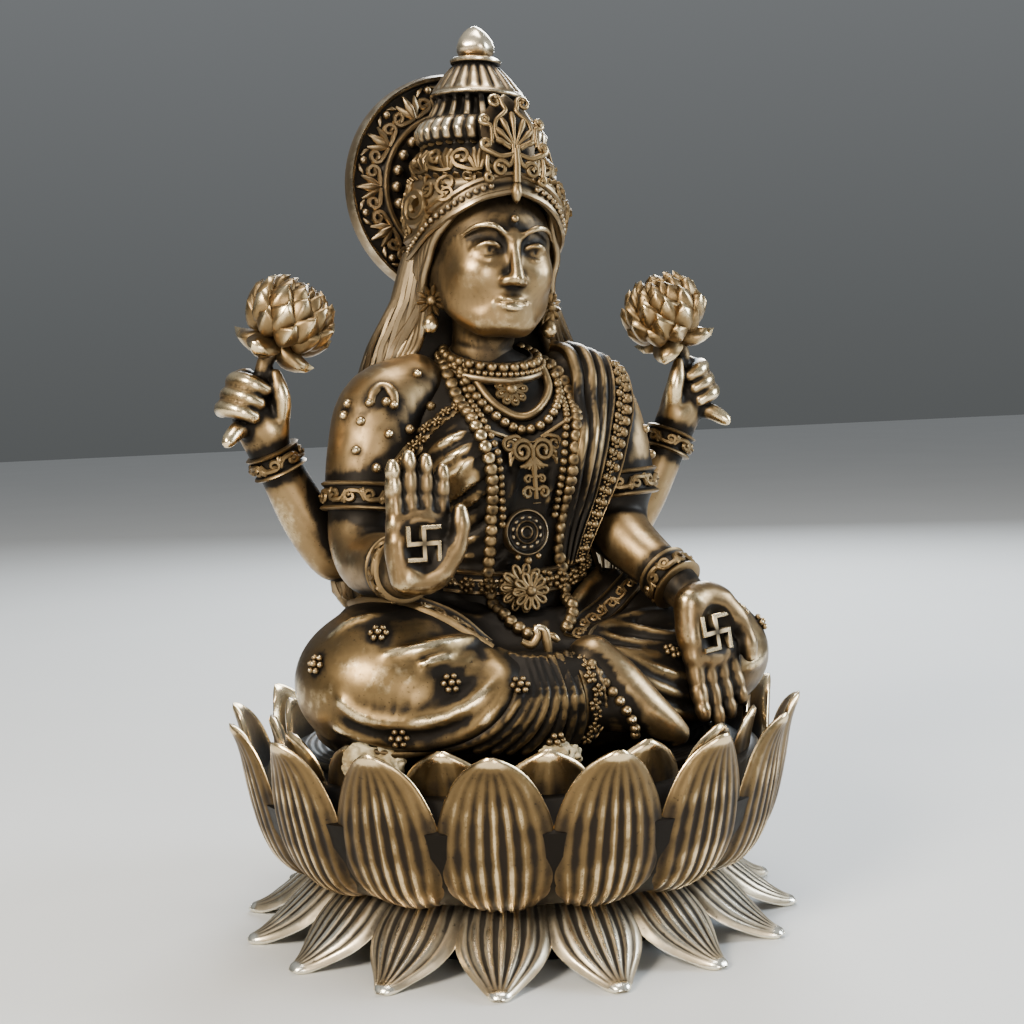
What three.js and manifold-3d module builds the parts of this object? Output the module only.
// Seated four-armed goddess on a lotus throne: a bronze-finished statuette about 240 mm tall.
// Millimetres, +Z up, front towards -Y, her left side towards +X.
// The origin is on the ground under the middle of the throne.

import * as THREE from 'three';
import { mergeVertices } from 'three/addons/utils/BufferGeometryUtils.js';
import Module from 'manifold-3d';

const wasm = await Module();
wasm.setup();

// Driving sizes of the figure
const FIGURE_HEIGHT = 191; // from the seat to the finial
const FIGURE_SHIFT = -3.5; // her midline from the throne's axis
const SEAT_GAP = 0.3; // hairline joint between seat and deck

// Driving sizes of the throne
const PETAL_COUNT = 16;
const ROW_TURN = THREE.MathUtils.degToRad(-4.6); // first petal from the front, to her left
const DECK_TOP = 49;
const DECK_MARGIN = 2.5; // deck beyond the seat's edge
const RIM_FLARE = 20.5; // outer petal tips beyond the deck
const RIM_RISE = 9; // outer petal tips above the deck
const INNER_FLARE = 9.5; // inner petal tips beyond the deck
const INNER_RISE = 4.5; // inner petal tips above the deck
const WAIST_INSET = 7.5; // waist inside the deck's edge
const WAIST_HEIGHT = 17;
const FOOT_INSET = 4; // foot drum inside the waist
const SKIRT_REACH = 24; // skirt petal tips beyond the waist
const SKIRT_LIFT = 1.4; // skirt petal tips above the ground
const PETAL_THICKNESS = 2.6;
const DECK_STEP = 2.5; // deck above the ledge that the inner petals rise from
const LEDGE_DEPTH = 8; // inner petals rooted below the ledge
const GLUE_GAP = 0.3; // hairline joint round each lump of glue

// The figure is drawn in modules: this many make its height
const MODULES = 191;
const MODULE = FIGURE_HEIGHT / MODULES;
const SEAT_REACH = 55 * MODULE; // farthest edge of the seat from the throne's axis

// Sizes that follow from the driving ones
const DECK_RADIUS = SEAT_REACH + DECK_MARGIN;
const WAIST_RADIUS = DECK_RADIUS - WAIST_INSET;
const RIM_RADIUS = DECK_RADIUS + RIM_FLARE;
const INNER_RADIUS = DECK_RADIUS + INNER_FLARE;

const WELD = 1e-4; // points closer than this are one
const LEAST_RELIEF = 0.25; // points that stand out less than this from their neighbours are drawn in
const THRONE_RELIEF = 0.12;
const MOST_TURN = 0.3; // least cosine of the angle that a face may turn by then
const SLIVER = 0.02; // a face with less area than this has no way of its own
const TIDY_ROUNDS = 3;

// Bronze finish and pale glue
const BRONZE = { color: 0x6f5a3c, roughness: 0.38, metalness: 0.9 };
const GLUE = { color: 0xc9bd96, roughness: 0.85, metalness: 0 };

const vec = (x, y, z) => new THREE.Vector3(x, y, z);
const FRONT = vec(0, -1, 0);
const lerp = THREE.MathUtils.lerp;
const range = (count) => Array.from({ length: count }, (_, k) => k);

// Signed volume of a closed mesh: negative when its faces point inwards
function signedVolume(points, corners) {
  const at = (k) => vec().fromArray(points, 3 * corners[k]);
  let volume = 0;
  for (let k = 0; k < corners.length; k += 3) volume += at(k).dot(at(k + 1).cross(at(k + 2)));
  return volume;
}

// Turns a closed geometry into a solid, whichever way its faces were wound
function solid(geometry) {
  const bare = geometry.clone();
  bare.deleteAttribute('normal');
  bare.deleteAttribute('uv');
  const merged = mergeVertices(bare, WELD);
  const index = merged.getIndex().array;
  const corners = [];
  for (let k = 0; k < index.length; k += 3) {
    const [a, b, c] = index.slice(k, k + 3);
    if (a !== b && b !== c && c !== a) corners.push(a, b, c);
  }
  const points = merged.getAttribute('position').array;
  if (signedVolume(points, corners) < 0) corners.reverse();
  const vertProperties = Float32Array.from(points);
  const triVerts = Uint32Array.from(corners);
  return new wasm.Manifold(new wasm.Mesh({ numProp: 3, vertProperties, triVerts }));
}

// Joins a list of closed geometries and solids into one solid
function join(parts) {
  const solids = parts.flat(Infinity).map((part) => (part.isBufferGeometry ? solid(part) : part));
  return solids.reduce((whole, part) => whole.add(part));
}

function toGeometry(body) {
  const mesh = body.getMesh();
  const geometry = new THREE.BufferGeometry();
  geometry.setAttribute('position', new THREE.BufferAttribute(mesh.vertProperties, 3));
  geometry.setIndex(new THREE.BufferAttribute(mesh.triVerts, 1));
  geometry.computeVertexNormals();
  return geometry;
}

// Whether the way from one point to another passes through a triangle
function pierces(start, end, [a, b, c]) {
  const ray = new THREE.Ray(start, end.clone().sub(start).normalize());
  const hit = ray.intersectTriangle(a, b, c, false, vec());
  return hit !== null && hit.distanceTo(start) < end.distanceTo(start);
}

// Whether two triangles cross anywhere but at the corners they share
function crosses(one, other) {
  return [[one, other], [other, one]].some(([from, through]) => from.some((corner, k) => {
    const next = from[(k + 1) % 3];
    return !through.includes(corner) && !through.includes(next) && pierces(corner, next, through);
  }));
}

// Closed mesh that knows which faces meet at each point. Joining leaves slivers along its seams;
// it draws their points together wherever that hardly moves the surface.
class Tidier {
  constructor(geometry, relief) {
    this.relief = relief;
    const position = geometry.getAttribute('position');
    const corners = Array.from(geometry.index.array);
    this.points = range(position.count).map((k) => vec().fromBufferAttribute(position, k));
    this.faces = new Set(range(corners.length / 3).map((k) => corners.slice(3 * k, 3 * k + 3)));
    this.around = this.points.map(() => new Set());
    this.boxes = new Map();
    for (const face of this.faces) {
      face.forEach((point) => this.around[point].add(face));
      this.boxes.set(face, new THREE.Box3().setFromPoints(this.triangle(face)));
    }
  }

  triangle(face) {
    return face.map((point) => this.points[point]);
  }

  length([a, b]) {
    return this.points[a].distanceTo(this.points[b]);
  }

  edges() {
    return [...this.faces].flatMap(([a, b, c]) => [[a, b], [b, c], [c, a]]).filter(([a, b]) => a < b)
      .sort((one, other) => this.length(one) - this.length(other));
  }

  neighbours(point) {
    return new Set([...this.around[point]].flat().filter((other) => other !== point));
  }

  // Whether two points have just the two neighbours in common that keep the mesh closed
  staysClosed(from, onto) {
    const beyond = this.neighbours(onto);
    return [...this.neighbours(from)].filter((point) => beyond.has(point)).length === 2;
  }

  // Whether a face keeps its way and hardly moves when it is drawn to new corners
  staysPut(before, after, from) {
    const [old, now] = [before, after].map(([a, b, c]) => b.clone().sub(a).cross(c.clone().sub(a)));
    const turned = now.dot(old) <= MOST_TURN * now.length() * old.length();
    if (turned && old.length() > SLIVER) return false;
    return Math.abs(now.normalize().dot(from.clone().sub(after[0]))) < this.relief;
  }

  // Whether a triangle crosses none of the faces that stay as they are while a point moves
  staysClear(triangle, moving) {
    const box = new THREE.Box3().setFromPoints(triangle);
    return ![...this.faces].some((face) => !moving.has(face)
      && this.boxes.get(face).intersectsBox(box) && crosses(triangle, this.triangle(face)));
  }

  canMove(from, onto) {
    if (!this.staysClosed(from, onto)) return false;
    const moving = this.around[from];
    const [start, end] = this.triangle([from, onto]);
    const olds = [...moving].filter((face) => !face.includes(onto)).map((face) => this.triangle(face));
    const news = olds.map((corners) => corners.map((corner) => (corner === start ? end : corner)));
    return news.every((corners, k) => this.staysPut(olds[k], corners, start))
      && news.every((corners) => this.staysClear(corners, moving));
  }

  move(from, onto) {
    for (const face of [...this.around[from]]) {
      if (face.includes(onto)) {
        face.forEach((point) => this.around[point].delete(face));
        this.faces.delete(face);
      } else {
        face[face.indexOf(from)] = onto;
        this.around[onto].add(face);
        this.boxes.get(face).setFromPoints(this.triangle(face));
      }
    }
    this.around[from].clear();
  }

  tidy() {
    for (const [a, b] of this.edges()) {
      if (this.neighbours(a).has(b)) {
        if (this.canMove(b, a)) this.move(b, a);
        else if (this.canMove(a, b)) this.move(a, b);
      }
    }
  }

  geometry() {
    const kept = this.points.map((_, k) => k).filter((k) => this.around[k].size > 0);
    const places = new Map(kept.map((point, k) => [point, k]));
    const tidy = new THREE.BufferGeometry().setFromPoints(kept.map((k) => this.points[k]));
    tidy.setIndex([...this.faces].flat().map((point) => places.get(point)));
    tidy.computeVertexNormals();
    return tidy;
  }
}

// Geometry of a solid without the slivers along its seams
function tidied(body, relief = LEAST_RELIEF) {
  const tidier = new Tidier(toGeometry(body), relief);
  for (let round = 0; round < TIDY_ROUNDS; round += 1) tidier.tidy();
  return tidier.geometry();
}

// Skins a run of closed loops that have the same number of points, with a fan over each end
function skin(loops) {
  const count = loops[0].length;
  const points = loops.flat();
  const corners = [];
  for (let row = 0; row + 1 < loops.length; row += 1) {
    for (let k = 0; k < count; k += 1) {
      const next = (k + 1) % count;
      const [a, b] = [row * count + k, row * count + next];
      corners.push(a, b, b + count, a, b + count, a + count);
    }
  }
  for (const row of [0, loops.length - 1]) {
    const hub = points.length;
    points.push(loops[row].reduce((sum, point) => sum.add(point), vec()).divideScalar(count));
    for (let k = 0; k < count; k += 1) {
      const [a, b] = [row * count + k, row * count + ((k + 1) % count)];
      corners.push(...(row === 0 ? [hub, b, a] : [hub, a, b]));
    }
  }
  const geometry = new THREE.BufferGeometry().setFromPoints(points);
  geometry.setIndex(corners);
  return geometry;
}

// Points round an ellipse about a centre; ripple moves every other point in or out
function loop(centre, across, along, sides, ripple = 0) {
  return range(sides).map((k) => {
    const angle = (2 * Math.PI * k) / sides;
    const swell = 1 + (k % 2 ? ripple : -ripple);
    return centre.clone()
      .addScaledVector(across, Math.cos(angle) * swell)
      .addScaledVector(along, Math.sin(angle) * swell);
  });
}

// Body of upright stations [z, cx, cy, rx, ry, ripple]
function stack(stations, sides) {
  return skin(stations.map(([z, cx, cy, rx, ry, ripple = 0]) => (
    loop(vec(cx, cy, z), vec(rx, 0, 0), vec(0, ry, 0), sides, ripple))));
}

// Limb along stations [x, y, z, radius]; face is its outward side, and flat squeezes it that way
function limb(stations, { sides = 8, flat = 1, face = FRONT } = {}) {
  const path = new THREE.CatmullRomCurve3(stations.map(([x, y, z]) => vec(x, y, z)));
  const out = face.clone();
  return skin(stations.map(([, , , radius], k) => {
    const t = k / (stations.length - 1);
    const tangent = path.getTangent(t);
    out.addScaledVector(tangent, -out.dot(tangent)).normalize();
    const across = tangent.cross(out).multiplyScalar(radius);
    return loop(path.getPoint(t), out.clone().multiplyScalar(radius * flat), across, sides);
  }));
}

// Round lump with radii along x, y and z
function blob([x, y, z], [rx, ry, rz], across = 10, rows = 7) {
  return new THREE.SphereGeometry(1, across, rows).rotateX(Math.PI / 2)
    .scale(rx, ry, rz).translate(x, y, z);
}

// Small bead with eight faces
const bead = ([x, y, z], r) => new THREE.OctahedronGeometry(r).translate(x, y, z);

// Turned body from a profile of [radius, height], along +Z
function turned(profile, sides) {
  return new THREE.LatheGeometry(profile.map(([r, h]) => new THREE.Vector2(r, h)), sides)
    .rotateX(Math.PI / 2);
}

// Moves a geometry made along +Z to a place, with its +Z along a direction
function aim(geometry, [x, y, z], direction) {
  const turn = new THREE.Quaternion().setFromUnitVectors(vec(0, 0, 1), direction.clone().normalize());
  return geometry.applyQuaternion(turn).translate(x, y, z);
}

// Throne

// Bowl petal's run from waist to tip, as shares of its reach and its rise
const bowlSpine = (u) => [1 - (1 - Math.sqrt(u)) ** 1.92, u];

// Inner petal's run: it leans out a little as it rises
const innerSpine = (u) => [u ** 1.6, u];

// Skirt petal's run: it falls, then runs out nearly level
const skirtSpine = (u) => [u, 1 - u ** 1.15];

// Fluted petal that leans out from the axis towards -Y, ribbed outside and plain inside;
// root is how far its width has already swelled where it starts
function petal({ reach, rise, spine, halfWidth, root, fullness, rows, ribs, ribDepth, bulge }) {
  const at = (u) => vec(0, -lerp(...reach, spine(u)[0]), lerp(...rise, spine(u)[1]));
  return skin(range(rows + 1).map((row) => {
    const u = row / rows;
    const run = at(Math.min(u + 0.02, 1)).sub(at(Math.max(u - 0.02, 0)));
    const out = vec(0, -Math.abs(run.z), run.y * Math.sign(run.z)).normalize();
    const swell = lerp(root, 1, u);
    const share = (4 * swell * (1 - swell)) ** fullness;
    const face = range(2 * ribs + 1).map((k) => {
      const v = k / ribs - 1;
      const lift = ((k % 2 ? ribDepth : 0) - bulge * v * v) * share;
      return at(u).addScaledVector(out, lift).add(vec(v * share * halfWidth, 0, 0));
    });
    return [...face, at(u).addScaledVector(out, -PETAL_THICKNESS * share)];
  }));
}

// Half the width that one petal has to itself at a radius
const halfPitch = (radius) => (Math.PI * radius) / PETAL_COUNT;

// Row of petals round the axis, turned by a share of the pitch
function petalRow(make, shift) {
  return range(PETAL_COUNT).map((k) => (
    make().rotateZ(ROW_TURN + ((k + shift) * 2 * Math.PI) / PETAL_COUNT)));
}

// Drum, bowl and deck under the petals
function throneCore() {
  const wall = [0.1, 0.3, 0.5].map((u) => {
    const [out, up] = bowlSpine(u);
    return [lerp(WAIST_RADIUS, RIM_RADIUS, out) - PETAL_THICKNESS, lerp(WAIST_HEIGHT, DECK_TOP, up)];
  });
  const ledgeTop = DECK_TOP - DECK_STEP;
  return turned([[0, 0], [WAIST_RADIUS - FOOT_INSET, 0], [WAIST_RADIUS, WAIST_HEIGHT - FOOT_INSET],
    [WAIST_RADIUS, WAIST_HEIGHT], ...wall, [INNER_RADIUS, ledgeTop - LEDGE_DEPTH],
    [INNER_RADIUS - PETAL_THICKNESS, ledgeTop], [DECK_RADIUS, ledgeTop], [DECK_RADIUS, DECK_TOP],
    [0, DECK_TOP]], PETAL_COUNT * 1.5);
}

function outerPetal() {
  return petal({ reach: [WAIST_RADIUS, RIM_RADIUS], rise: [WAIST_HEIGHT, DECK_TOP + RIM_RISE],
    spine: bowlSpine, halfWidth: 0.91 * halfPitch(RIM_RADIUS), root: 0.13, fullness: 0.6, rows: 4,
    ribs: 3, ribDepth: 0.8, bulge: 2.4 });
}

function innerPetal() {
  return petal({ reach: [INNER_RADIUS - 4, INNER_RADIUS],
    rise: [DECK_TOP - DECK_STEP - LEDGE_DEPTH, DECK_TOP + INNER_RISE], spine: innerSpine,
    halfWidth: 0.92 * halfPitch(INNER_RADIUS), root: 0.3, fullness: 0.6, rows: 3, ribs: 1,
    ribDepth: 0.4, bulge: 1.6 });
}

function skirtPetal() {
  return petal({ reach: [WAIST_RADIUS - FOOT_INSET, WAIST_RADIUS + SKIRT_REACH],
    rise: [SKIRT_LIFT, WAIST_HEIGHT + 2], spine: skirtSpine,
    halfWidth: 1.05 * halfPitch(WAIST_RADIUS + 0.4 * SKIRT_REACH), root: 0.35, fullness: 0.5, rows: 3,
    ribs: 3, ribDepth: 0.9, bulge: 2.4 });
}

function lotusThrone() {
  return join([throneCore(), petalRow(innerPetal, 0.5), petalRow(outerPetal, 0),
    petalRow(skirtPetal, 0)]);
}

// Figure, drawn in modules from the middle of her seat

// Trunk stations from the hips to the neck: [height, middle x, middle y, half width, half depth]
const TRUNK = [[16, 0, 4, 34, 25], [36, 0, 0.5, 25, 19], [42.5, 0, -0.5, 24, 18],
  [43.5, 0, -0.8, 21.4, 15.8], [57, 0, -2.5, 22.5, 16.5], [68, 0, -3.5, 25, 17.5], [78, 0, -2.5, 27.5, 17],
  [88, 0, -0.5, 28.5, 14.5], [96, 0, 0.5, 24, 11.5], [101, 0, 0, 14, 10], [107, -0.5, -2, 8.8, 9],
  [114, -1, -4, 9, 10]];
const BREASTS = [[-12.5, -13.5, 77], [12.5, -13.5, 77]];
const BREAST_SIZE = [11.5, 11, 11.5];

const NECK_BASE = [-0.5, -1.5, 101];
const HEAD_MIDDLE = [-1, -4, 128];
const HEAD_LEAN = THREE.MathUtils.degToRad(3.5); // her head tips to her left

// Trunk's middle and half sizes at a height
function trunkAt(z) {
  const above = Math.max(1, TRUNK.findIndex((station) => station[0] >= z));
  const [low, high] = [TRUNK[above - 1], TRUNK[above]];
  const t = (z - low[0]) / (high[0] - low[0]);
  return low.map((value, k) => lerp(value, high[k], t));
}

// Front of the body at a place across and up it, so that ornaments lie on it
function frontAt(x, z) {
  const [, cx, cy, rx, ry] = trunkAt(z);
  const trunk = cy - ry * Math.sqrt(Math.max(0, 1 - ((x - cx) / rx) ** 2));
  const breasts = BREASTS.map(([bx, by, bz]) => {
    const inside = 1 - ((x - bx) / BREAST_SIZE[0]) ** 2 - ((z - bz) / BREAST_SIZE[2]) ** 2;
    return inside > 0 ? by - BREAST_SIZE[1] * Math.sqrt(inside) : trunk;
  });
  return Math.min(trunk, ...breasts);
}

// Point on the body's front, or proud of it
const onFront = (x, z, proud = 0) => [x, frontAt(x, z) - proud, z];

// Point on a knee at an azimuth and an elevation in degrees; azimuth 0 faces the front
function onKnee({ middle, size }, azimuth, elevation) {
  const [az, el] = [azimuth, elevation].map(THREE.MathUtils.degToRad);
  const way = [Math.sin(az) * Math.cos(el), -Math.cos(az) * Math.cos(el), Math.sin(el)];
  return middle.map((value, k) => value + way[k] * size[k]);
}

// Cloth fold: a sharp ridge that swells in the middle of its run and dies away at both ends
function fold(places, radius, face) {
  const last = places.length - 1;
  const swell = (k) => 0.35 + 0.65 * Math.sin((Math.PI * (k + 0.4)) / (last + 0.8));
  return limb(places.map((place, k) => [...place, radius * swell(k)]), { sides: 3, face });
}

// Disc with a scalloped rim and a domed middle, facing a direction: a flower, a boss or a scroll
function boss(place, direction, radius, petals, height = 0.45 * radius) {
  const ring = (size, z) => loop(vec(0, 0, z), vec(size, 0, 0), vec(0, size, 0), 2 * petals, 0.1);
  const disc = skin([ring(radius, -height), ring(radius, 0.5 * height), ring(0.45 * radius, height)]);
  return aim(disc, place, direction);
}

const trunk = () => [stack(TRUNK, 12), BREASTS.map((place) => blob(place, BREAST_SIZE, 8, 5))];

// Beads on a run of places
const beads = (places, r) => places.map((place) => bead(place, r));

// Places on a hanging loop of beads across the body's front
function swag(halfWidth, top, bottom, count, squareness, proud) {
  return range(count).map((k) => {
    const t = (2 * k) / (count - 1) - 1;
    const x = halfWidth * Math.sign(t) * Math.min(1, Math.abs(t) * 1.35) ** squareness;
    return onFront(x, bottom + (top - bottom) * Math.abs(t) ** 1.6, proud);
  });
}

function necklaces() {
  const collar = turned([[0, -2], [13, -2.4], [15.5, -0.6], [11, 2.6], [0, 2.6]], 12);
  const medallion = turned([[0, -2], [6.4, -2], [6.4, 1.6], [3.4, 0.6], [0, 1.6]], 10);
  const pendant = limb([[...onFront(0, 79), 3.4], [...onFront(0, 65), 1]], { sides: 4, flat: 0.7 });
  return [aim(collar, NECK_BASE, vec(0, -0.32, 1)), aim(medallion, onFront(0, 58), FRONT), pendant,
    boss(onFront(-0.5, 92, 1.5), FRONT, 4.6, 4), beads(swag(16.5, 97, 79, 7, 0.8, 0.2), 2.4),
    beads(swag(15, 98, 31.5, 21, 0.55, 0.8), 2.6)];
}

const buckle = () => boss(onFront(-0.5, 41.5, 2.8), FRONT, 7, 8);

// Head, plain and calm, up to where the crown covers it
const HEAD = [[107.5, 0, -12, 5, 4.5], [110.5, 0, -10.5, 9, 8], [115, 0, -8.5, 12.6, 11.8],
  [121, 0, -6, 15, 15.2], [129, 0, -4.5, 16.2, 17.2], [148, 0, -2, 14, 15.4]];

function face() {
  const pair = (make) => [-1, 1].map(make);
  const eyes = pair((side) => blob([6.4 * side, -18.4, 130.2], [3.9, 2.6, 1.9], 5, 3));
  const brows = pair((side) => fold(
    [[1.6 * side, -21, 133.8], [6.5 * side, -19.8, 136], [11.5 * side, -15.8, 133.6]], 1.2));
  const nose = limb([[0, -20.4, 134, 1.5], [0, -23.2, 123.6, 2.6], [0, -20.6, 121.6, 2.2]], { sides: 4 });
  const lips = [117.8, 115.6].map((z) => fold(
    [[-4.6, -16.8, z + 0.7], [0, -19.4, z], [4.6, -16.8, z + 0.7]], 1.6));
  return [stack(HEAD, 12), eyes, brows, nose, lips];
}

const CROWN_FLUTES = 8;

// Crown from the diadem up: domed tiers, gallery, fluted cap, ring and bud
function crown() {
  const cap = stack([[126, 0, 4, 17, 14], [136, 0, 0.5, 21.5, 19], [145, 0, -1.5, 22, 20.5],
    [149, 0, 0, 19, 18], [154, 0, 0.5, 19.5, 18.5], [157.5, 0, 1, 16.5, 16, 0.03],
    [161, 0, 1.5, 17.6, 17.2, 0.04], [165, 0, 2, 13.4, 13.2, 0.05], [170.5, 0, 2.6, 12.4, 12.4, 0.05],
    [171.5, 0, 2.8, 14.2, 14.2], [180.5, 0, 3.6, 6, 6, 0.05], [181.4, 0, 3.6, 7, 7],
    [183.2, 0, 3.8, 4.4, 4.4], [185.6, 0, 4, 5.5, 5.5], [MODULES, 0, 4, 0.4, 0.4]], 2 * CROWN_FLUTES);
  const diadem = [-1, 1].map((side) => limb([[21 * side, 1, 129.5, 2.2], [18.5 * side, -9, 135, 2.5],
    [10.5 * side, -18, 142.5, 2.7], [0, -21.5, 146.5, 2.7]], { sides: 4 }));
  const scrolls = [-1, 1].map((side) => [boss([23 * side, -5, 142.5], vec(side, -0.55, 0.1), 6.6, 4),
    bead([14.5 * side, -14.5, 150.5], 5.4)]);
  return [cap, diadem, scrolls, palmette()];
}

// Leaf-shaped plume at the front of the crown, fluted, with a scroll at each side of its foot
function palmette() {
  const rows = [[144, -22, 1.5], [150, -22, 3.4], [158, -20.2, 7.8], [165, -18.4, 7.4], [170, -17.4, 1.5]];
  const plume = skin(rows.map(([z, y, width]) => [...range(7).map((k) => (
    vec(width * (k / 3 - 1), y - (k % 2 ? 1.8 : 0.6) + 0.12 * (k - 3) ** 2, z))), vec(0, y + 5, z)]));
  return [plume, [-1, 1].map((side) => bead([5.2 * side, -21, 148.6], 3.2))];
}

// Dished disc behind the head with a raised rim, an inner rail and a ring of knobs
const HALO_MIDDLE = [-0.5, 21, 150];
const HALO_RADIUS = 31;
const HALO_KNOBS = 10;
const KNOB_RING = 0.755 * HALO_RADIUS;

function halo() {
  const disc = turned([[0, -2], [HALO_RADIUS - 1, -2], [HALO_RADIUS, 2.8], [HALO_RADIUS - 2.6, 2.8],
    [HALO_RADIUS - 3.2, 0.6], [0.64 * HALO_RADIUS, 0.6], [0.6 * HALO_RADIUS, 2.2], [0, 2.2]], 24);
  const [x, y, z] = HALO_MIDDLE;
  const knobs = range(HALO_KNOBS).map((k) => {
    const angle = ((2 * k + 1) * Math.PI) / HALO_KNOBS;
    return [x + KNOB_RING * Math.cos(angle), y - 0.8, z + KNOB_RING * Math.sin(angle)];
  });
  return [aim(disc, HALO_MIDDLE, FRONT), beads(knobs, 3.2)];
}

// Hair: a mantle of long locks down the back, and a sweep over each temple
const LOCKS = 9;

function hair() {
  const mantle = stack([[34, 0, 12, 31, 4, 0.03], [40, 0, 12, 39, 6, 0.03], [60, 0, 13.5, 41, 8, 0.03],
    [80, 0, 13.5, 39.5, 9, 0.03], [106, 0, 12, 30, 9.5, 0.03], [118, -0.5, 8, 23, 12, 0.03],
    [140, -1, 4, 17, 12]], 2 * LOCKS);
  const temples = [-1, 1].map((side) => limb([[11 * side, -16, 141, 2], [17 * side, -8, 129, 2.8],
    [18.5 * side, 2, 113, 4], [22 * side, 6, 104, 5]], { sides: 4 }));
  return [mantle, temples];
}

// Daisy earrings with a drop
const earrings = () => [-1, 1].map((side) => [
  boss([17 * side, -6, 116.5], vec(side * 0.5, -1, 0), 4.2, 4), bead([17 * side, -6, 110.5], 2.4)]);

// Stations of a ring with two rims round an arm, at a place along it, for the arm's own skin
function armRing([x, y, z], [dx, dy, dz], radius) {
  return [[-1, 1.3], [-0.5, 0.3], [0.5, 0.3], [1, 1.3]].map(([t, proud]) => (
    [x + t * dx, y + t * dy, z + t * dz, radius + proud]));
}

// Front arms in short sleeves: the right one raised, the left one lowered over the knee
function frontArms() {
  const right = limb([[-22, 0, 95, 9], [-31, -0.5, 89, 11.8], [-34.5, -2, 79, 12],
    ...armRing([-36.6, -3, 67], [-0.4, -0.3, -3.4], 11.2), [-38.5, -5, 57, 9.8], [-39.5, -12, 51, 8.8],
    [-39, -22, 50.5, 8], ...armRing([-38, -33, 50.4], [0.3, -2.8, 0], 7.2), [-37.3, -40.5, 52.5, 5.2]]);
  const left = limb([[21, 0, 95, 9], [29, -0.5, 89, 11.8], [32.5, -2, 79, 12],
    ...armRing([34.6, -3, 67], [0.2, -0.3, -3.4], 11), [33.6, -4.5, 57, 9.4], [34, -12, 51.5, 7.8],
    ...armRing([39.6, -27, 41.4], [0.8, -2.3, -1.6], 5.9), [41.8, -34.6, 37.6, 4.6]]);
  return [right, left];
}

const REAR_WRIST = [60, 8, 81];

// Rear arms, raised at each side with a lotus flower in the hand
function rearArms() {
  const stations = [[27, 8, 88, 8], [35, 11, 64, 8], [40.5, 11, 49.5, 7], [49, 10, 60, 6.8],
    ...armRing([58.4, 8, 78], [1.2, -0.1, 2.8], 5.7)];
  return [-1, 1].map((side) => {
    const arm = limb(stations.map(([x, ...rest]) => [side * x, ...rest]), { sides: 7 });
    return [arm, fist(side), lotus(side)];
  });
}

// Closed hand round a stem: curled fingers as ridges, the thumb, and one finger held out
function fist(side) {
  const at = (x, y, z, r) => [(REAR_WRIST[0] + x) * side, REAR_WRIST[1] + y, REAR_WRIST[2] + z, r];
  const digit = (...stations) => limb(stations, { sides: 4 });
  const knuckles = range(3).flatMap((k) => [
    at(4 + k, -2, 6.6 + 4 * k, 7), at(4.4 + k, -1.6, 8.8 + 4 * k, 5.6)]);
  const hand = limb([at(-1, 0, -2, 5.2), ...knuckles, at(7, -1, 18.6, 4)], { sides: 6, flat: 0.85 });
  return [hand, digit(at(-2.5, -3, 4, 3), at(-2, -6.4, 11.5, 2.8), at(-0.5, -6.4, 18, 1.6)),
    digit(at(4, -3, 5.5, 2.6), at(8, -6, 4.4, 2.5), at(11.5, -7.6, 2.6, 1.5))];
}

const FLOWER_PETALS = 8;

// Lotus flower on its stem: tiers of thick pointed petals, each tier's petals between those of the last
function lotus(side) {
  const [x, y, z] = [REAR_WRIST[0] * side, REAR_WRIST[1], REAR_WRIST[2]];
  const middle = [x - 6 * side, y - 6, z + 34];
  const from = (across, out, up, r) => [middle[0] + across * side, middle[1] + out, middle[2] + up, r];
  const tiers = [[-8, 3, 0], [-5.5, 9, 0.05], [-1, 12, -0.1], [1.5, 10, -0.05], [2.5, 11.2, 0.1],
    [6, 8.8, 0.08], [7.2, 7.8, -0.1], [9.6, 5.2, -0.14], [10.4, 2.4, 0.1]];
  const petals = stack(tiers.map(([up, r, ripple]) => [up, 0, 0, r, r, ripple]), 2 * FLOWER_PETALS);
  const sepals = [[-1, -3], [0.4, -4], [1, 1]].map(([across, out]) => limb([from(-1.5, 0, -6, 3.4),
    from(5.5 * across - 1, 1.4 * out, -10.5, 2.6), from(8 * across - 1, 1.8 * out, -14.5, 0.6)],
  { sides: 3 }));
  const stem = limb([[x + 3 * side, y - 3, z + 10, 2.4], [x + 0.5 * side, y - 4, z + 22, 2.4],
    from(0, 0, 0, 2.6)], { sides: 4 });
  return [aim(petals, middle, vec(-0.55 * side, -0.3, 1)), sepals, stem];
}

// Open hand with its fingers along +Z and its palm towards -Y; the thumb is on the given side
function openHand(thumbSide) {
  const digit = (...stations) => limb(stations.map(([x, ...rest]) => [x * thumbSide, ...rest]),
    { sides: 4, flat: 1.1 });
  const palm = skin([[-2, 5.2, 4.2], [5, 7.4, 4.4], [18.5, 7.6, 2.8]].map(([z, width, depth]) => (
    loop(vec(0, 0, z), vec(width, 0, 0), vec(0, depth, 0), 8))));
  const fingers = [[5.8, 11], [2, 13.5], [-1.8, 14.5], [-5.6, 12.5]].map(([x, length]) => digit(
    [x, 0, 15, 2.3], [1.06 * x, -0.6, 18 + 0.5 * length, 2.3], [1.1 * x, -1.4, 18 + length, 1.5]));
  const thumb = digit([5, -1.5, 4, 3.2], [9.4, -2.6, 11, 2.8], [9.8, -3, 18, 1.6]);
  return join([palm, fingers, thumb, palmSign()]);
}

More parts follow.
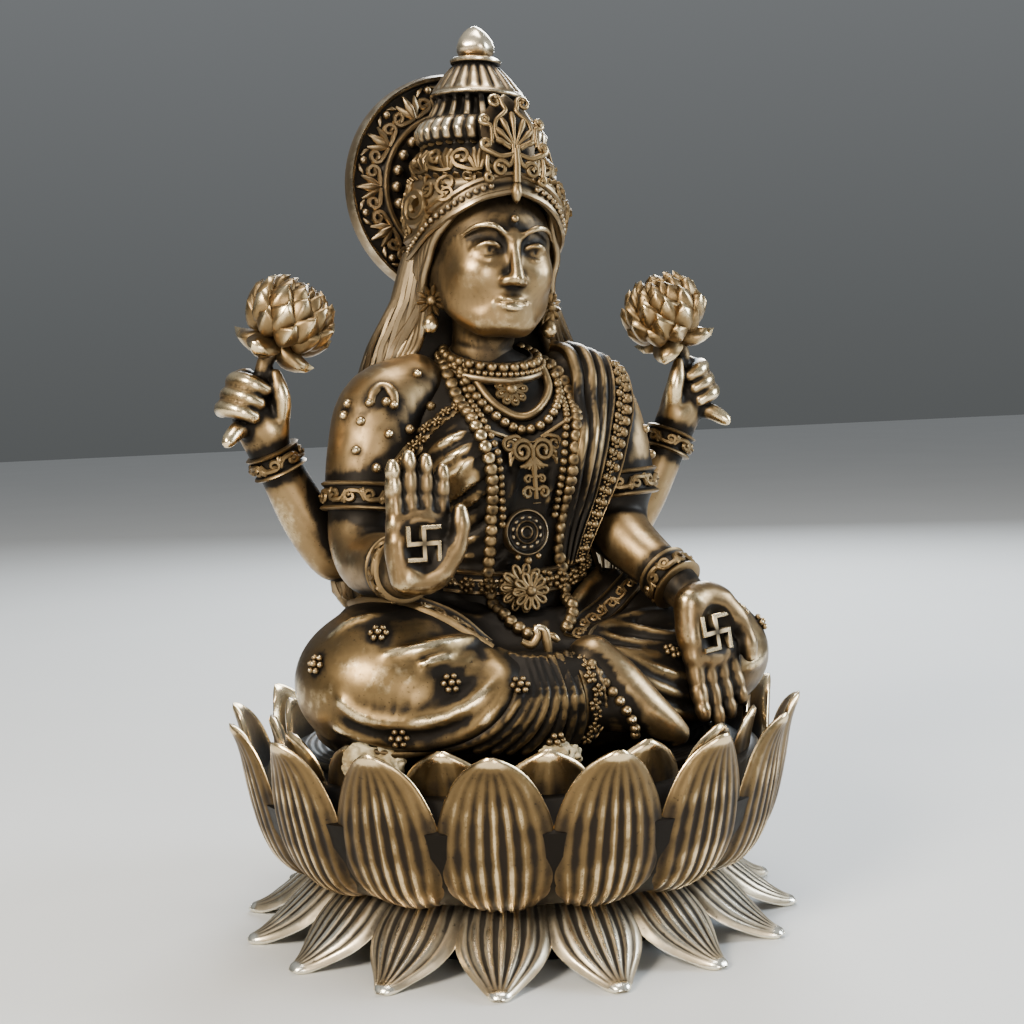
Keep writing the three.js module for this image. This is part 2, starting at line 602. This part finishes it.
// Raised good-luck sign in the palm: a cross whose four arms turn at right angles
function palmSign() {
  const [reach, width, height] = [4.2, 1.5, 1.6];
  const half = width / 2;
  const inner = reach - width;
  const arm = [[-half, half], [-half, reach], [reach, reach], [reach, inner], [half, inner]];
  const outline = range(4).flatMap((turn) => arm.map(([x, y]) => (
    new THREE.Vector2(x, y).rotateAround(new THREE.Vector2(), (-turn * Math.PI) / 2))));
  return new THREE.ExtrudeGeometry(new THREE.Shape(outline), { depth: height, bevelEnabled: false })
    .rotateX(Math.PI / 2).translate(0, -3.2, 10.5);
}

function palms() {
  const raised = toGeometry(openHand(1)).rotateX(-0.05).translate(-37.3, -41.5, 47);
  const lowered = toGeometry(openHand(-1)).rotateY(Math.PI - 0.1).rotateZ(0.25).rotateX(-0.12)
    .translate(42.2, -36.8, 38.6);
  return [raised, lowered];
}

// Lap: crossed legs under the robe
const RIGHT_KNEE = { middle: [-37, -21, 21.5], size: [26, 24, 20] };
const LEFT_KNEE = { middle: [49, -12, 19], size: [25.5, 22, 18.5] };

function lap() {
  const seat = stack([[0, 2, -7, 50, 34], [7, 2, -7, 56, 38], [22, 2, -4, 50, 34], [36, 0, 0, 33, 22]], 14);
  const knees = [RIGHT_KNEE, LEFT_KNEE].map(({ middle, size }) => blob(middle, size, 12, 7));
  const thighs = [[-1, RIGHT_KNEE], [1, LEFT_KNEE]].map(([side, { middle }]) => limb(
    [[18 * side, 2, 25, 19], [32 * side, -5, 25, 18], [middle[0], middle[1] + 2, middle[2], 16]],
    { sides: 7 }));
  const shin = limb([[-36, -32, 15, 13], [-16, -37, 15, 13.5], [5, -41, 18, 9]], { sides: 7 });
  const farShin = limb([[48, -18, 15, 14], [26, -29, 14, 12.5], [8, -32, 12, 11]], { sides: 7 });
  return [seat, knees, thighs, shin, farShin];
}

// Sheet of cloth across rows of [left end, right end, bow towards the front], ridges running down it
function pleated(rows, ridges, depth, thickness) {
  const last = 2 * ridges;
  const ends = rows.map(([left, right]) => [vec(...left), vec(...right)]);
  const middle = (k) => ends[THREE.MathUtils.clamp(k, 0, ends.length - 1)]
    .reduce((sum, end) => sum.addScaledVector(end, 0.5), vec());
  return skin(rows.map(([, , bow], row) => {
    const [from, to] = ends[row];
    const out = middle(row + 1).sub(middle(row - 1)).cross(to.clone().sub(from)).normalize();
    const at = (t, proud) => from.clone().lerp(to, t).addScaledVector(out, 4 * bow * t * (1 - t) + proud);
    const front = range(last + 1).map((k) => at(k / last, k % 2 ? depth : 0));
    return [...front, at(0.67, -thickness), at(0.33, -thickness)];
  }));
}

const PLEATS = 9;

// Fan of pleats from the knot to the hem in front of the shin
const pleats = () => pleated([[[-12, -37, 31], [4, -37, 31], 1], [[-19, -44, 23], [7, -45, 25], 3.5],
  [[-29, -46, 12], [9.5, -47, 15.5], 3], [[-36, -42, 4.5], [4, -46, 6], 3]], PLEATS, 1.6, 9);

// Long folds that sweep under the right knee and fan out over the left one
function kneeFolds() {
  const right = range(3).map((k) => fold([onKnee(RIGHT_KNEE, -52, -14 - 15 * k),
    onKnee(RIGHT_KNEE, -14, -26 - 13 * k), onKnee(RIGHT_KNEE, 26, -18 - 14 * k),
    [-15 + 1.5 * k, -46 - k, 15 - 2 * k]], 3));
  const upper = fold([[-12, -37, 30], onKnee(RIGHT_KNEE, 55, 16), onKnee(RIGHT_KNEE, 0, 28)], 2.4);
  const left = range(4).map((k) => fold([[8, -37 + k, 30 - 3.6 * k],
    onKnee(LEFT_KNEE, -30 + 5 * k, 44 - 21 * k), onKnee(LEFT_KNEE, 14, 36 - 18 * k)],
  3, vec(-0.2, -1, 0.5)));
  return [right, upper, left];
}

// Bare right foot that comes out beyond the hem, with an anklet of beads
function foot() {
  const ankle = limb([[2, -43, 15, 7.5], [17, -45, 12, 6]], { sides: 6 });
  const sole = limb([[9, -41, 25, 6], [15, -44.5, 17.5, 7], [22, -46.5, 10.5, 5.2],
    [29.5, -47.5, 4.4, 2.8]], { sides: 6 });
  const anklet = beads(range(5).map((k) => [6.4 + 2.4 * k, -47.4 - 0.5 * k, 23.4 - 4 * k]), 2.4);
  return [ankle, sole, anklet];
}

// Bordered bands of the robe over each thigh, and the sash over her left shoulder
function bands() {
  const lapBands = [[[-38, -8, 42.5], [-26, -26, 38], [-8, -34.5, 32]],
    [[35, -12, 38.5], [22, -24, 34], [7, -34, 31]]].map((places) => limb(
    places.map((place) => [...place, 3.6]), { sides: 4, flat: 0.6, face: vec(0, -0.4, 1) }));
  const sash = pleated([[[21, 8, 100], [34, 8, 96], 0], [[18, -6, 101.5], [35, -6, 97], 1],
    [onFront(16, 84, 1), [33, -13, 85], 1], [onFront(13, 64, 1), [28, -15, 66], 1],
    [onFront(10, 45, 0.6), [19, -14.5, 45], 1]], 3, 1.4, 5);
  const border = limb([[34, 4, 98, 3.2], [33, -8, 96, 3.8], [31, -13.6, 86, 3.8], [26.5, -16, 70, 3.8],
    [16, -17.4, 46, 3]], { sides: 4, flat: 0.6, face: vec(0.4, -1, 0) });
  const studs = beads([[34.4, -10.6, 94], [32.6, -15.4, 84], [28.5, -17.8, 73], [24, -19, 62]], 2.6);
  return [lapBands, sash, border, studs];
}

// Blouse hem across her right breast, folds of the wrap below it, and the studs sewn on her robe
function wrap() {
  const edge = [[-14, 94], [-18, 84], [-25, 76], [-31, 70]];
  const hem = limb(edge.map(([x, z]) => [...onFront(x, z, 0.6), 2.2]), { sides: 4 });
  const folds = range(4).map((k) => fold([onFront(-24 + 1.2 * k, 72 - 6.6 * k),
    onFront(-12, 76 - 7.4 * k, 0.4), onFront(4 + k, 83 - 7.8 * k)], 2.8));
  const dots = [[-28, -12, 92], [-34, -12.5, 84], [-42.5, -10.5, 82], [-38, -14, 76], [-44.5, -8, 72]];
  const sprigs = [[-78, 4], [-34, 40], [28, 2], [2, -42]].map((place) => onKnee(RIGHT_KNEE, ...place));
  return [hem, folds, beads(dots, 2), beads(sprigs, 3),
    beads([onKnee(LEFT_KNEE, 55, 20), onKnee(LEFT_KNEE, -20, 18)], 3)];
}

function figure() {
  const head = toGeometry(join([face(), crown(), earrings()])).translate(0, 0, -HEAD_MIDDLE[2])
    .rotateY(HEAD_LEAN).translate(HEAD_MIDDLE[0], 0, HEAD_MIDDLE[2]);
  const body = join([lap(), kneeFolds(), pleats(), foot(), trunk(), bands(), wrap(), hair(), halo(), head,
    necklaces(), buckle(), frontArms(), palms(), rearArms()]);
  const underSeat = new THREE.BoxGeometry(2 * MODULES, 2 * MODULES, MODULES).translate(0, 0, -MODULES / 2);
  return tidied(body.subtract(solid(underSeat))).scale(MODULE, MODULE, MODULE)
    .translate(FIGURE_SHIFT, 0, DECK_TOP + SEAT_GAP);
}

// Lump of set glue that squeezed out between seat and throne, cut back from what it lies against
function glueLump(blobs, neighbours) {
  const lump = join(blobs.map(([place, size]) => blob(place, size.map((r) => r * MODULE), 8, 5)));
  const steps = [vec(), ...[vec(1, 0, 0), vec(0, 1, 0), vec(0, 0, 1)].flatMap((way) => (
    [way.clone().multiplyScalar(GLUE_GAP), way.clone().multiplyScalar(-GLUE_GAP)]))];
  const cuts = neighbours.flatMap((geometry) => steps.map((step) => (
    solid(geometry.clone().translate(step.x, step.y, step.z)))));
  return toGeometry(cuts.reduce((left, cut) => left.subtract(cut), lump));
}

const throne = tidied(lotusThrone(), THRONE_RELIEF);
const seated = figure();
const onSeat = (x, y, z) => [x * MODULE + FIGURE_SHIFT, y * MODULE, z * MODULE + DECK_TOP + SEAT_GAP];
const leftLump = glueLump([[onSeat(-49, -33, 3.4), [6.6, 4.6, 4.8]], [onSeat(-44.6, -36, 3.6), [5, 3.8, 4.2]]],
  [throne, seated]);
const frontLump = glueLump([[onSeat(-5, -49, 2.4), [5.2, 3.2, 3.6]],
  [onSeat(-1.5, -48.4, 1.6), [3.4, 2.8, 3]]], [throne, seated]);
const model = new THREE.Group();
for (const [name, geometry, finish] of [['lotus_throne', throne, BRONZE], ['figure', seated, BRONZE],
  ['adhesive_left', leftLump, GLUE], ['adhesive_front', frontLump, GLUE]]) {
  const mesh = new THREE.Mesh(geometry, new THREE.MeshStandardMaterial(finish));
  mesh.name = name;
  model.add(mesh);
}
export default model;
